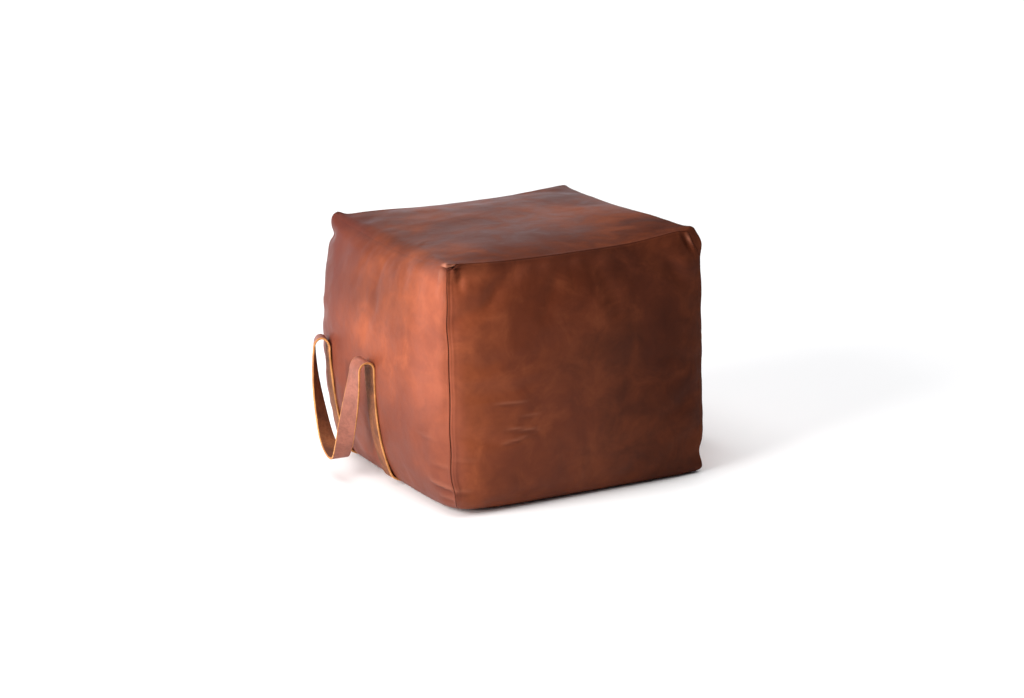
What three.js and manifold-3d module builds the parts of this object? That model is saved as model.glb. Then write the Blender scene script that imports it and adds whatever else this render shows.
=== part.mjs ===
// A stuffed cube-shaped leather floor pouf with two leather strap handles.
// The cover is one long band (left side, top and right side in one strip) with a square front
// and a square back sewn into it. Its base is two halves with a zip recessed between them.
// Inside is a canvas bag full of stuffing. Each handle is one strap: both ends are sewn into
// the base seam, its legs lie up the side, fold outwards and hang down again as a loop.
// Millimetres, +Z up, front towards -Y, origin on the floor at the centre.
import * as THREE from "three";
import { mergeGeometries, mergeVertices } from "three/addons/utils/BufferGeometryUtils.js";
import Module from "manifold-3d";

const wasm = await Module();
wasm.setup();

// Cover, as a box before it is stuffed.
const HEIGHT = 417; // to the tips of the four top corners
const HALF_BOTTOM = 233.5;
const HALF_TOP = 224.5;
const LEATHER = 2;
const SEAM_GAP = 0.001; // share of a panel's half width left open at each seam

// What the stuffing does to it.
const BULGE = { left: 27, right: 28, front: 27, back: 15.4 };
const SEAM_BOW = { leftFront: 6, rightFront: 9, leftBack: 27, rightBack: 20 };
const CORNER_RISE = 10; // the top corners stand this far above the middles of the top edges
const CORNER_LIFT = 4; // the bottom corners clear the floor by this much
const CROWN = 5;
const ROLL_AT_SEAM = 6; // radius of the fold between side and top, at the front and back seams
const ROLL_MIDDLE = 34;
const BOTTOM_ROUND = 22;
const HALF_BASE = HALF_BOTTOM - BOTTOM_ROUND; // where the base meets the floor

// Layers under the cover, by depth below its outer face.
const PATCH_DEPTH = 2.5;
const PATCH_THICKNESS = 1.4;
const BAG_DEPTH = 5;
const BAG_THICKNESS = 1;
const FILL_DEPTH = 7;
const BAG_SLIT = [260, 14];

// Base zip.
const ZIP_HALF_LENGTH = 165;
const ZIP_RECESS = 9;
const ZIP_ROOM = 4; // more height over the zip, under the bag
const ZIP_HALF_GAP = 7;
const CHANNEL_HALF_WIDTH = 36;
const TAPE = { inner: 1.4, outer: 19, thickness: 0.8, z: 11.4 };
const COIL = { inner: 0.9, outer: 3.6, thickness: 2.4, z: 8.7 };
const STOP_LENGTH = 3;
const SLIDER = { length: 12, halfWidth: 5.5, plate: 1.2, bridge: 1, x: 150 };
const BAIL = { reach: 4.4, bar: 1.3, halfWidth: 1, drop: 3.8 };
const PULL = { thickness: 1.4, length: 27, halfWidth: 4.2, bar: 1.6, hole: 6.2, holeHalfWidth: 2, z: 5.9 };

// Strap handles.
const STRAP_WIDTH = 30;
const STRAP = 3.5;
const STRAP_CLEAR = 2; // from the cover to the strap's legs
const FOLD_RADIUS = 15.8; // to the middle of the strap's thickness
const FOLD_HEIGHT = 204;
const FOLD_GAP = 0.02; // radians left open where the fold meets the leg and the loop
const LEG_START = 0.014; // share of the height where a leg comes out of the base seam
const LEG_SPACING = 177;
const HANDLE_START = { left: -8, right: 72 }; // Y of the leg that the loop's steep arm hangs from
const LOOP_TURN = 0.43; // share of the loop's length at its lowest point
// The loop's middle line: how far along from one fold to the other, then millimetres down and out.
const LOOP_ROUTE = [
  [0, 0, 0],
  [0.005, 14, 0.5],
  [0.06, 55, 3],
  [0.14, 98, 5],
  [0.22, 138, 6],
  [0.31, 160, 6],
  [0.43, 161, 6],
  [0.62, 143, 6],
  [0.81, 98, 5],
  [0.95, 50, 3],
  [0.995, 14, 0.5],
  [1, 0, 0],
];

// Grid lines, closer together where the surface turns.
const ACROSS = [-1, -0.96, -0.86, -0.7, -0.5, -0.25, 0, 0.25, 0.5, 0.7, 0.86, 0.96, 1];
const UP = [0, 0.004, 0.012, 0.024, 0.042, 0.08, 0.16, 0.3, 0.45, 0.6, 0.74, 0.85, 0.92, 0.96, 0.985, 1];
// The same for the layers inside.
const INNER_ACROSS = [-1, -0.82, -0.45, 0, 0.45, 0.82, 1];
const INNER_UP = [0, 0.012, 0.05, 0.16, 0.4, 0.65, 0.88, 0.97, 1];

const clamp = THREE.MathUtils.clamp;
const lerp = THREE.MathUtils.lerp;
const smooth = THREE.MathUtils.smoothstep;

// ---- the stuffed cover ----

// How far the base is lifted over the zip, at a place on the base.
function recess(x, y, depth) {
  const rise = ZIP_RECESS + (depth > PATCH_DEPTH ? ZIP_ROOM : 0);
  const end = 1 - smooth(Math.abs(x), ZIP_HALF_LENGTH + 15, ZIP_HALF_LENGTH + 45);
  return rise * end * (1 - smooth(Math.abs(y), ZIP_HALF_GAP, CHANNEL_HALF_WIDTH));
}

// A point of the stuffed cover. nx, ny and nz run from -1 to 1 over a cube's surface, and depth
// is the distance below the outer face, so two depths give the two faces of one layer.
function cover(nx, ny, nz, depth) {
  const t = (nz + 1) / 2;
  const half = lerp(HALF_BOTTOM, HALF_TOP, t) - depth;
  const dip = CORNER_RISE * (1 - Math.abs(nx * ny) ** 3);
  const crown = CROWN * (1 - nx * nx) * (1 - ny * ny);
  const top = HEIGHT - dip + crown - depth;
  let x = nx * half;
  let y = ny * half;
  const bottom = depth + CORNER_LIFT * Math.abs(nx * ny) ** 6;
  let z = lerp(bottom, top, t);

  // The bottom edge turns under.
  const round = BOTTOM_ROUND - depth;
  const low = z - bottom;
  if (low < round) {
    const inset = round - Math.sqrt(Math.max(0, round ** 2 - (round - low) ** 2));
    x *= (half - inset) / half;
    y *= (half - inset) / half;
  }
  if (t === 0) z += recess(x, y, depth);

  // The band rolls over from the sides to the top, tightly at its two seams.
  const roll = lerp(ROLL_AT_SEAM, ROLL_MIDDLE, 1 - ny * ny) - depth;
  const out = Math.abs(x) - (half - roll);
  const up = z - (top - roll);
  if (out > 0 && up > 0) {
    const fit = Math.max(out, up) / Math.hypot(out, up);
    x = Math.sign(x) * (half - roll + out * fit);
    z = top - roll + up * fit;
  }

  // The upright seams bow outwards.
  const arch = 4 * t * (1 - t);
  for (const [bow, sx, sy] of [
    [SEAM_BOW.leftFront, -1, -1],
    [SEAM_BOW.rightFront, 1, -1],
    [SEAM_BOW.leftBack, -1, 1],
    [SEAM_BOW.rightBack, 1, 1],
  ]) {
    const share = ((1 + sx * nx) * (1 + sy * ny)) / 4;
    x += (sx * bow * arch * share) / Math.SQRT2;
    y += (sy * bow * arch * share) / Math.SQRT2;
  }

  // Each side swells between its seams.
  const rise = 1 - Math.abs(nz) ** 3;
  if (nx === -1) x -= BULGE.left * rise * (1 - ny ** 4);
  if (nx === 1) x += BULGE.right * rise * (1 - ny ** 4);
  if (ny === -1) y -= BULGE.front * rise * (1 - nx ** 4);
  if (ny === 1) y += BULGE.back * rise * (1 - nx ** 4);
  return new THREE.Vector3(x, y, z);
}

// ---- geometry helpers ----

// Two triangles for each cell of a grid of points, facing the side where rows run to the right
// and columns run up.
function gridGeometry(rows, flip = false) {
  const positions = [];
  const triangle = (a, b, c) => positions.push(...a.toArray(), ...b.toArray(), ...c.toArray());
  for (let i = 0; i + 1 < rows.length; i++) {
    for (let j = 0; j + 1 < rows[i].length; j++) {
      const [a, b, c, d] = [rows[i][j], rows[i][j + 1], rows[i + 1][j + 1], rows[i + 1][j]];
      if (flip) {
        triangle(a, c, b);
        triangle(a, d, c);
      } else {
        triangle(a, b, c);
        triangle(a, c, d);
      }
    }
  }
  return new THREE.BufferGeometry().setAttribute("position", new THREE.Float32BufferAttribute(positions, 3));
}

// A closed layer between two grids of points with the same number of rows and columns.
function layerGeometry(outer, inner) {
  const last = outer.length - 1;
  const column = (grid, j) => grid.map((row) => row.at(j));
  return mergeGeometries([
    gridGeometry(outer),
    gridGeometry(inner, true),
    gridGeometry([inner[0], outer[0]]),
    gridGeometry([inner[last], outer[last]], true),
    gridGeometry([column(inner, 0), column(outer, 0)], true),
    gridGeometry([column(inner, -1), column(outer, -1)]),
  ]);
}

// A layer of the cover over a grid of cube points.
function coverLayer(places, depth, thickness) {
  const grid = (d) => places.map((row) => row.map(([x, y, z]) => cover(x, y, z, d)));
  return layerGeometry(grid(depth), grid(depth + thickness));
}

// The whole closed surface of the cover at one depth, for the layers inside.
function coverBody(depth) {
  const uprights = INNER_UP.map((t) => 2 * t - 1);
  const faces = [
    [uprights, (u, v) => [u, -1, v]],
    [uprights, (u, v) => [-u, 1, v]],
    [uprights, (u, v) => [-1, -u, v]],
    [uprights, (u, v) => [1, u, v]],
    [INNER_ACROSS, (u, v) => [u, v, 1]],
    [INNER_ACROSS, (u, v) => [u, -v, -1]],
  ];
  return mergeGeometries(
    faces.map(([lines, place]) =>
      gridGeometry(lines.map((v) => INNER_ACROSS.map((u) => cover(...place(u, v), depth)))),
    ),
  );
}

function boxGeometry(low, high) {
  const size = high.map((h, i) => h - low[i]);
  return new THREE.BoxGeometry(...size).translate(...high.map((h, i) => (h + low[i]) / 2));
}

// ---- booleans ----

function solidOf(geometry) {
  const bare = new THREE.BufferGeometry().setAttribute("position", geometry.getAttribute("position"));
  if (geometry.index) bare.setIndex(geometry.index);
  const merged = mergeVertices(bare, 1e-3);
  return new wasm.Manifold(
    new wasm.Mesh({
      numProp: 3,
      vertProperties: new Float32Array(merged.attributes.position.array),
      triVerts: new Uint32Array(merged.index.array),
    }),
  );
}

function geometryOf(solid) {
  const { vertProperties, triVerts } = solid.getMesh();
  return new THREE.BufferGeometry()
    .setAttribute("position", new THREE.BufferAttribute(vertProperties, 3))
    .setIndex(new THREE.BufferAttribute(triVerts, 1));
}

const join = (...geometries) => geometryOf(geometries.map(solidOf).reduce((all, next) => all.add(next)));

// ---- materials and the group ----

const FINISH = {
  leather: { color: 0x8a3f28, roughness: 0.42 },
  strap: { color: 0x93502f, roughness: 0.5 },
  patch: { color: 0xb07a4a, roughness: 0.85 },
  canvas: { color: 0xd9cdb4, roughness: 0.95 },
  stuffing: { color: 0xe9e5da, roughness: 1 },
  tape: { color: 0x3a2218, roughness: 0.9 },
  metal: { color: 0xb08a4c, roughness: 0.35, metalness: 1 },
};

const pouf = new THREE.Group();
pouf.name = "leather_pouf";

function addPart(name, geometry, finish, parent = pouf) {
  const mesh = new THREE.Mesh(geometry, new THREE.MeshStandardMaterial(FINISH[finish]));
  mesh.name = name;
  parent.add(mesh);
  return mesh;
}

// ---- cover panels ----

const seam = 1 - SEAM_GAP;
const acrossPanel = ACROSS.map((n) => clamp(n, -seam, seam));
const upPanel = UP.map((t) => clamp(2 * t - 1, -1, seam));

function addCover() {
  const band = [
    ...upPanel.slice(0, -1).map((nz) => [-1, nz]),
    ...ACROSS.map((nx) => [nx, 1]),
    ...upPanel.slice(0, -1).reverse().map((nz) => [1, nz]),
  ];
  const bandRows = band.map(([nx, nz]) => acrossPanel.map((n) => [nx, -n, nz]));
  addPart("band_panel", coverLayer(bandRows, 0, LEATHER), "leather");
  for (const [name, side] of [["front_panel", -1], ["back_panel", 1]]) {
    const rows = upPanel.map((nz) => acrossPanel.map((n) => [-side * n, side, nz]));
    addPart(name, coverLayer(rows, 0, LEATHER), "leather");
  }
}

// One half of the base. Its inner edge stands back from the zip and closes past the zip's ends.
function addBaseHalf(name, side) {
  const ends = [ZIP_HALF_LENGTH + 6, ZIP_HALF_LENGTH + 12].map((x) => x / HALF_BASE);
  const columns = [...acrossPanel, ...ends, ...ends.map((x) => -x)].sort((a, b) => a - b);
  const edge = (nx) => lerp(ZIP_HALF_GAP / HALF_BASE, SEAM_GAP, smooth(Math.abs(nx), ...ends));
  const shares = [0, 0.02, 0.05, 0.09, 0.14, 0.25, 0.45, 0.7, 0.9, 1];
  const rows = shares.map((share) =>
    columns.map((nx) => [nx, side * lerp(edge(nx), seam, share), -1]),
  );
  if (side > 0) rows.reverse();
  addPart(name, coverLayer(rows, 0, LEATHER), "leather");
}

// ---- what is inside ----

function addBagAndFill() {
  const shell = solidOf(coverBody(BAG_DEPTH)).subtract(solidOf(coverBody(BAG_DEPTH + BAG_THICKNESS)));
  const [length, width] = BAG_SLIT;
  const slit = boxGeometry([-length / 2, -width / 2, 0], [length / 2, width / 2, HEIGHT / 4]);
  addPart("inner_bag", geometryOf(shell.subtract(solidOf(slit))), "canvas");
  addPart("fill_core", coverBody(FILL_DEPTH), "stuffing");
}

// ---- zip ----

function addZip() {
  const length = 2 * ZIP_HALF_LENGTH;
  for (const [name, side] of [["front", -1], ["back", 1]]) {
    const strip = ({ inner, outer, thickness, z }, reach) => {
      const [near, far] = [side * inner, side * outer].sort((a, b) => a - b);
      return boxGeometry([-reach, near, z], [reach, far, z + thickness]);
    };
    addPart("zip_tape_" + name, strip(TAPE, length / 2 + STOP_LENGTH + 2), "tape");
    addPart("zip_coil_" + name, strip(COIL, length / 2), "tape");
  }
  for (const [name, side] of [["left", -1], ["right", 1]]) {
    const near = side * (ZIP_HALF_LENGTH + 0.4);
    const [from, to] = [near, near + side * STOP_LENGTH].sort((a, b) => a - b);
    const stop = boxGeometry([from, -COIL.outer, COIL.z], [to, COIL.outer, COIL.z + COIL.thickness]);
    addPart("zip_stop_" + name, stop, "metal");
  }
}

// Two plates round the coils, joined by a thin bridge that runs between them, and a bail below.
function addSlider() {
  const { length, halfWidth, plate, bridge, x } = SLIDER;
  const low = COIL.z - 0.4 - plate;
  const high = TAPE.z + TAPE.thickness + 0.4;
  const plateAt = (z) => boxGeometry([x - length / 2, -halfWidth, z], [x + length / 2, halfWidth, z + plate]);
  const web = boxGeometry([x + 1, -bridge / 2, low], [x + length / 2, bridge / 2, high + plate]);
  const { reach, bar, halfWidth: thin, drop } = BAIL;
  const foot = low - drop;
  const bailBox = (from, to, z0, z1) => boxGeometry([x + from, -thin, z0], [x + to, thin, z1]);
  const bail = [
    bailBox(-reach, reach, foot, foot + bar),
    bailBox(-reach, -reach + bar, foot, low + plate),
    bailBox(reach - bar, reach, foot, low + plate),
  ];
  addPart("zip_slider", join(plateAt(low), plateAt(high), web, ...bail), "metal");
}

// A flat tab with an eye at one end. The eye's bar lies in the slider's bail, along Y.
function addPull() {
  const { thickness, length, halfWidth, bar, hole, holeHalfWidth, z } = PULL;
  const eye = holeHalfWidth + bar;
  const outline = new THREE.Shape();
  outline.moveTo(-bar / 2, -eye);
  outline.lineTo(hole + bar, -eye);
  outline.lineTo(hole + 2 * bar, -halfWidth);
  outline.lineTo(length - halfWidth, -halfWidth);
  outline.absarc(length - halfWidth, 0, halfWidth, -Math.PI / 2, Math.PI / 2);
  outline.lineTo(hole + 2 * bar, halfWidth);
  outline.lineTo(hole + bar, eye);
  outline.lineTo(-bar / 2, eye);
  outline.closePath();
  const eyeHole = new THREE.Path();
  eyeHole.moveTo(bar / 2, -holeHalfWidth);
  eyeHole.lineTo(bar / 2 + hole, -holeHalfWidth);
  eyeHole.lineTo(bar / 2 + hole, holeHalfWidth);
  eyeHole.lineTo(bar / 2, holeHalfWidth);
  eyeHole.closePath();
  outline.holes.push(eyeHole);
  const tab = new THREE.ExtrudeGeometry(outline, { depth: thickness, bevelEnabled: false, curveSegments: 6 });
  const mesh = addPart("zip_pull", tab, "metal");
  mesh.position.set(SLIDER.x + 1, 0, z - thickness / 2);
}

// ---- handles ----

// A point of one side of the cover at a given Y and share of the height.
function sidePoint(side, y, t, depth) {
  const half = lerp(HALF_BOTTOM, HALF_TOP, t) - depth;
  let ny = y / half;
  for (let pass = 0; pass < 3; pass++) ny += (y - cover(side, ny, 2 * t - 1, depth).y) / half;
  return cover(side, ny, 2 * t - 1, depth);
}

// A strip of leather up one side of the cover, at a given Y. It ends square at its highest Z.
function sideStrip(side, y, width, heights, depth, thickness, highest = HEIGHT) {
  const columns = [-0.5, -0.25, 0, 0.25, 0.5].map((share) => y + side * share * width);
  const place = (t, column, d) => {
    const point = sidePoint(side, column, t, d);
    return point.setZ(Math.min(point.z, highest));
  };
  const grid = (d) => heights.map((t) => columns.map((column) => place(t, column, d)));
  return layerGeometry(grid(depth), grid(depth + thickness));
}

// A strap's solid from its sections: each has a middle point, a width and a thickness direction.
function strapGeometry(sections) {
  const corner = ({ at, wide, thick }, w, t) =>
    at.clone().addScaledVector(wide, (w * STRAP_WIDTH) / 2).addScaledVector(thick, (t * STRAP) / 2);
  const face = (t) => sections.map((s) => [-1, 0, 1].map((w) => corner(s, w, t)));
  return layerGeometry(face(1), face(-1));
}

function addHandle(name, side) {
  const start = HANDLE_START[name];
  const along = -side; // the loop runs from its first leg to its second along this Y direction
  const legs = [start, start + along * LEG_SPACING];
  const ends = side < 0 ? ["front", "back"] : ["back", "front"];
  const top = (FOLD_HEIGHT + CORNER_RISE) / HEIGHT;
  const heights = [LEG_START, ...UP.filter((t) => t > LEG_START && t < top - 0.02), top];
  const middle = -STRAP_CLEAR - STRAP / 2;

  // Each fold turns about the direction that the cover has there.
  const upward = new THREE.Vector3(0, 0, 1);
  const foot = (y) => sidePoint(side, y, top, middle).setZ(FOLD_HEIGHT);
  const folds = legs.map((y) => {
    const wide = foot(y + (along * STRAP_WIDTH) / 2).sub(foot(y - (along * STRAP_WIDTH) / 2)).normalize();
    const outward = upward.clone().cross(wide).normalize();
    return { wide, outward, centre: foot(y).addScaledVector(outward, FOLD_RADIUS) };
  });

  legs.forEach((y, i) => {
    const leg = sideStrip(side, y, STRAP_WIDTH, heights, -STRAP_CLEAR - STRAP, STRAP, FOLD_HEIGHT);
    addPart(name + "_leg_" + ends[i], leg, "strap");
    const patch = sideStrip(side, y, STRAP_WIDTH + 14, UP.slice(3, 7), PATCH_DEPTH, PATCH_THICKNESS);
    addPart(name + "_backing_" + ends[i], patch, "patch");

    const steps = 12;
    const { wide, outward, centre } = folds[i];
    const sections = Array.from({ length: steps + 1 }, (_, k) => {
      const angle = lerp(FOLD_GAP, Math.PI - FOLD_GAP, k / steps);
      const thick = outward.clone().multiplyScalar(-Math.cos(angle)).addScaledVector(upward, Math.sin(angle));
      return { at: centre.clone().addScaledVector(thick, FOLD_RADIUS), wide, thick };
    });
    addPart(name + "_fold_" + ends[i], strapGeometry(sections), "strap");
  });

  addPart(name + "_loop", strapGeometry(loopSections(folds)), "strap");
}

// The hanging loop turns half over on its way, so that its lowest part lies crosswise.
function loopSections(folds) {
  const [from, to] = folds.map(({ centre, outward }) => centre.clone().addScaledVector(outward, FOLD_RADIUS));
  const outward = folds[0].outward.clone().add(folds[1].outward).normalize();
  const route = LOOP_ROUTE.map(([share, down, out]) =>
    from.clone().lerp(to, share).addScaledVector(outward, out).setZ(FOLD_HEIGHT - down),
  );
  const curve = new THREE.CatmullRomCurve3(route, false, "centripetal");
  const steps = 44;
  const gap = FOLD_GAP * FOLD_RADIUS / curve.getLength();
  return Array.from({ length: steps + 1 }, (_, k) => {
    const u = lerp(gap, 1 - gap, k / steps);
    const turn = u < LOOP_TURN ? (0.5 * u) / LOOP_TURN : 1 - (0.5 * (1 - u)) / (1 - LOOP_TURN);
    const angle = Math.PI * turn;
    const tangent = curve.getTangentAt(u);
    if (k % steps === 0) tangent.set(0, 0, Math.sign(tangent.z)); // square to the fold that it meets
    const flat = folds[0].wide.clone().lerp(folds[1].wide, u);
    const wide = flat.multiplyScalar(Math.cos(angle)).addScaledVector(outward, Math.sin(angle));
    wide.addScaledVector(tangent, -wide.dot(tangent)).normalize();
    return { at: curve.getPointAt(u), wide, thick: tangent.clone().cross(wide).negate() };
  });
}

addCover();
addBaseHalf("base_panel_front", -1);
addBaseHalf("base_panel_back", 1);
addBagAndFill();
addZip();
addSlider();
addPull();
addHandle("left", -1);
addHandle("right", 1);

export default pouf;
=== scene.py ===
"""A stuffed cube-shaped leather pouf: its looks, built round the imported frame.

Shapes are worked out in millimetres and turned into metres when a mesh is made.
"""

import math

import bpy
import numpy as np
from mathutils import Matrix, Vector


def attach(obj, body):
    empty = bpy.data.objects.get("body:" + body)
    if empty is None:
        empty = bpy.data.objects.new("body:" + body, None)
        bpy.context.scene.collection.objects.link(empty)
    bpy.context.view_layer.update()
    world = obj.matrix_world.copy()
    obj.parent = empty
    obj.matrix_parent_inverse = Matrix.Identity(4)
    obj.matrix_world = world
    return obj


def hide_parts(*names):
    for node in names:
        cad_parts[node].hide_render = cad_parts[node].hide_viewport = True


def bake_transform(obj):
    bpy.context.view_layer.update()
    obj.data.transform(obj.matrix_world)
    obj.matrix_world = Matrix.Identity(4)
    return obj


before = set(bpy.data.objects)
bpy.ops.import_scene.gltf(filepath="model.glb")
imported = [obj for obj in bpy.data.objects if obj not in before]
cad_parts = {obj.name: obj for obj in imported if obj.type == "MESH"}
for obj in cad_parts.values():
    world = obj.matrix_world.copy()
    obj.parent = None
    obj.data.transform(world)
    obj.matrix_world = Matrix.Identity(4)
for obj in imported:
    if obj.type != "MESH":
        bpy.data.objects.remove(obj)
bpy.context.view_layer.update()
MM = 0.001

# ---- sizes shared with the CAD model ----

HEIGHT = 417.0
HALF_BOTTOM = 233.5
HALF_TOP = 224.5
BULGE = {"left": 27.0, "right": 28.0, "front": 27.0, "back": 15.4}
SEAM_BOWS = [(6.0, -1, -1), (4.0, 1, -1), (27.0, -1, 1), (20.0, 1, 1)]
CORNER_RISE = 10.0
CROWN = 11.0
ROLL_AT_SEAM = 6.0
ROLL_BACK_LEFT = 15.0
ROLL_MIDDLE = {"left": 34.0, "right": 11.0}
BOTTOM_ROUND = 22.0
# How much each base corner differs: its lift, and what is added to the rounding there.
BASE_CORNERS = [(7.0, 6.0, -1, -1), (1.0, -12.0, 1, -1), (4.0, 0.0, -1, 1), (4.0, 0.0, 1, 1)]
LEATHER = 2.0
ZIP_HALF_LENGTH = 165.0
ZIP_RECESS = 9.0
ZIP_HALF_GAP = 7.0
CHANNEL_HALF_WIDTH = 36.0
STRAP_WIDTH = 30.0
STRAP = 3.5
STRAP_CLEAR = 2.0
FOLD_HEIGHT = 204.0  # where the folds start, on both sides
# For each fold: degrees it is turned round on the leg's side and on the loop's, half its width,
# its height and how far it tips.
FOLDS = {
    "left": [(-5.0, -7.0, 14.5, 17.5, 0.2), (6.0, 19.0, 12.0, 17.5, 0.0)],
    "right": [(0.0, 0.0, 16.0, 17.0, 0.0), (0.0, 0.0, 16.0, 17.0, 0.0)],
}
LEG_SPACING = 177.0
HANDLE_START = {"left": -8.0, "right": 72.0}
LOOP_TURN = 0.43
LOOP_ROUTE = [
    (0, 0, 0), (0.012, 14, 1), (0.065, 55, 4.5), (0.14, 98, 8), (0.22, 138, 10.5), (0.31, 160, 11.5),
    (0.43, 161, 12), (0.62, 143, 11), (0.81, 98, 7.5), (0.95, 50, 3.5), (0.995, 14, 1), (1, 0, 0),
]

# ---- sizes of the sewing ----

SEAM_ROLL = 1.7  # radius where the leather turns in at a seam
SEAM_HALF_GAP = 0.2
FLANGE = 3.6  # how far the turned-in leather goes on inside
CELL = 4.0  # mesh size on the open parts of a panel
FINE_CELL = 1.6  # mesh size near the top folds and corners
LIP_DROP = 6.0  # how far the band comes down over the front left corner
FAR = 999.0  # the distance given to lines that aren't near the seam in question
DEEPEST_FOLD = 2.0  # folds this deep get the full painted shade in their hollows, and this high the full painted highlight on their ridges


# ---- small helpers ----


def add_object(name, data):
    made = bpy.data.objects.new(name, data)
    bpy.context.scene.collection.objects.link(made)
    return made


def mix(a, b, t):
    return a + (b - a) * t


def ramp(x, start, end):
    t = np.clip((x - start) / (end - start), 0.0, 1.0)
    return t * t * (3.0 - 2.0 * t)


def bell(x, width):
    return np.exp(-((x / width) ** 2))


def unit(v):
    return v / np.maximum(np.linalg.norm(v, axis=-1, keepdims=True), 1e-9)


def lattice_value(i, j, k, seed):
    """A fixed random number from -1 to 1 for each whole-numbered place."""
    h = (i * 374761393 + j * 668265263 + k * 2147483647 + seed * 1274126177) & 0xFFFFFFFF
    h = ((h ^ (h >> 13)) * 1274126177) & 0xFFFFFFFF
    return ((h ^ (h >> 16)) & 0xFFFF) / 32767.5 - 1.0


def noise(points, size, seed):
    """Smooth noise from -1 to 1 with features of about this size."""
    p = np.asarray(points, float) / size
    base = np.floor(p).astype(np.int64)
    f = p - base
    f = f * f * f * (f * (f * 6 - 15) + 10)
    total = 0.0
    for a in (0, 1):
        for b in (0, 1):
            for c in (0, 1):
                weight = (
                    (f[..., 0] if a else 1 - f[..., 0])
                    * (f[..., 1] if b else 1 - f[..., 1])
                    * (f[..., 2] if c else 1 - f[..., 2])
                )
                total = total + weight * lattice_value(
                    base[..., 0] + a, base[..., 1] + b, base[..., 2] + c, seed
                )
    return total


def cubic_weights(samples, count):
    """Rows of weights that read a smooth curve through count even samples over -1 to 1."""
    at = (np.clip(samples, -1, 1) + 1) / 2 * (count - 1)
    first = np.clip(np.floor(at).astype(int), 0, count - 2)
    f = at - first
    parts = [
        (-1, (-f + 2 * f**2 - f**3) / 2),
        (0, (2 - 5 * f**2 + 3 * f**3) / 2),
        (1, (f + 4 * f**2 - 3 * f**3) / 2),
        (2, (-(f**2) + f**3) / 2),
    ]
    weights = np.zeros((len(at), count))
    for step, w in parts:
        np.add.at(weights, (np.arange(len(at)), np.clip(first + step, 0, count - 1)), w)
    return weights


# ---- the stuffed cover ----


def recess(x, y):
    end = 1 - ramp(np.abs(x), ZIP_HALF_LENGTH + 15, ZIP_HALF_LENGTH + 45)
    return ZIP_RECESS * end * (1 - ramp(np.abs(y), ZIP_HALF_GAP, CHANNEL_HALF_WIDTH))


def cover(nx, ny, nz, depth=0.0, swell=1.0):
    """Points of the stuffed cover; nx, ny and nz run from -1 to 1 over a cube's surface."""
    nx, ny, nz = np.broadcast_arrays(*(np.asarray(n, float) for n in (nx, ny, nz)))
    t = (nz + 1) / 2
    half = mix(HALF_BOTTOM, HALF_TOP, t) - depth
    corner = np.abs(nx * ny)
    crown = CROWN * (1 - nx**2) * (1 - ny**4)
    sag = CORNER_RISE * (1 - corner**3) * (1 - 0.5 * ramp(ny, 0, 1)) * (1 - 0.85 * ramp(nx, 0.4, 1))
    hump = 5.0 * bell(ny + 0.42, 0.33) * ramp(nx, 0.55, 1) + 3.5 * bell(nx + 0.6, 0.3) * ramp(ny, 0.3, 1)
    top = HEIGHT - sag + crown + hump - depth
    lift = 0.0
    turn = BOTTOM_ROUND - depth
    for up, more, sx, sy in BASE_CORNERS:
        share = ((1 + sx * nx) * (1 + sy * ny) / 4) ** 3
        lift = lift + up * share
        turn = turn + more * share
    bottom = depth + lift * corner**3
    x = nx * half
    y = ny * half
    z = mix(bottom, top, t)

    low = np.clip(z - bottom, 0, turn)
    inset = turn - np.sqrt(np.maximum(0, turn**2 - (turn - low) ** 2))
    x = x * (half - inset) / half
    y = y * (half - inset) / half
    z = z + np.where(t == 0, recess(x, y), 0)

    open_roll = np.where(nx < 0, ROLL_MIDDLE["left"], ROLL_MIDDLE["right"])
    end_roll = np.where((nx < 0) & (ny > 0), ROLL_BACK_LEFT, ROLL_AT_SEAM)
    roll = np.maximum(mix(end_roll, open_roll, 1 - ny**2) - depth, 0.5)
    out = np.abs(x) - (half - roll)
    up = z - (top - roll)
    on_roll = (out > 0) & (up > 0)
    fit = np.where(on_roll, np.maximum(out, up) / np.maximum(np.hypot(out, up), 1e-9), 1)
    x = np.where(on_roll, np.sign(x) * (half - roll + out * fit), x)
    z = np.where(on_roll, top - roll + up * fit, z)

    arch = 4 * t * (1 - t) * swell
    for bow, sx, sy in SEAM_BOWS:
        share = (1 + sx * nx) * (1 + sy * ny) / 4
        x = x + sx * bow * arch * share / math.sqrt(2)
        y = y + sy * bow * arch * share / math.sqrt(2)

    rise = (1 - np.abs(nz) ** 3) * swell
    x = x - np.where(nx == -1, BULGE["left"] * rise * (1 - ny**4), 0)
    x = x + np.where(nx == 1, BULGE["right"] * rise * (1 - ny**4), 0)
    y = y - np.where(ny == -1, BULGE["front"] * rise * (1 - nx**4), 0)
    y = y + np.where(ny == 1, BULGE["back"] * rise * (1 - nx**4), 0)
    return np.stack([x, y, z], -1)


# The six faces of the cube: name, and its point at u across and v up, each -1 to 1.
FACES = {
    "front": lambda u, v: (u, -1 + 0 * u, v),
    "back": lambda u, v: (-u, 1 + 0 * u, v),
    "left": lambda u, v: (-1 + 0 * u, -u, v),
    "right": lambda u, v: (1 + 0 * u, u, v),
    "top": lambda u, v: (u, v, 1 + 0 * u),
    "base": lambda u, v: (u, -v, -1 + 0 * u),
}
SIM_CELLS = 44
SIM_FRAMES = 24
PUCKER_LIMIT = 3.0  # the most that a pucker may move a point


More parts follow.
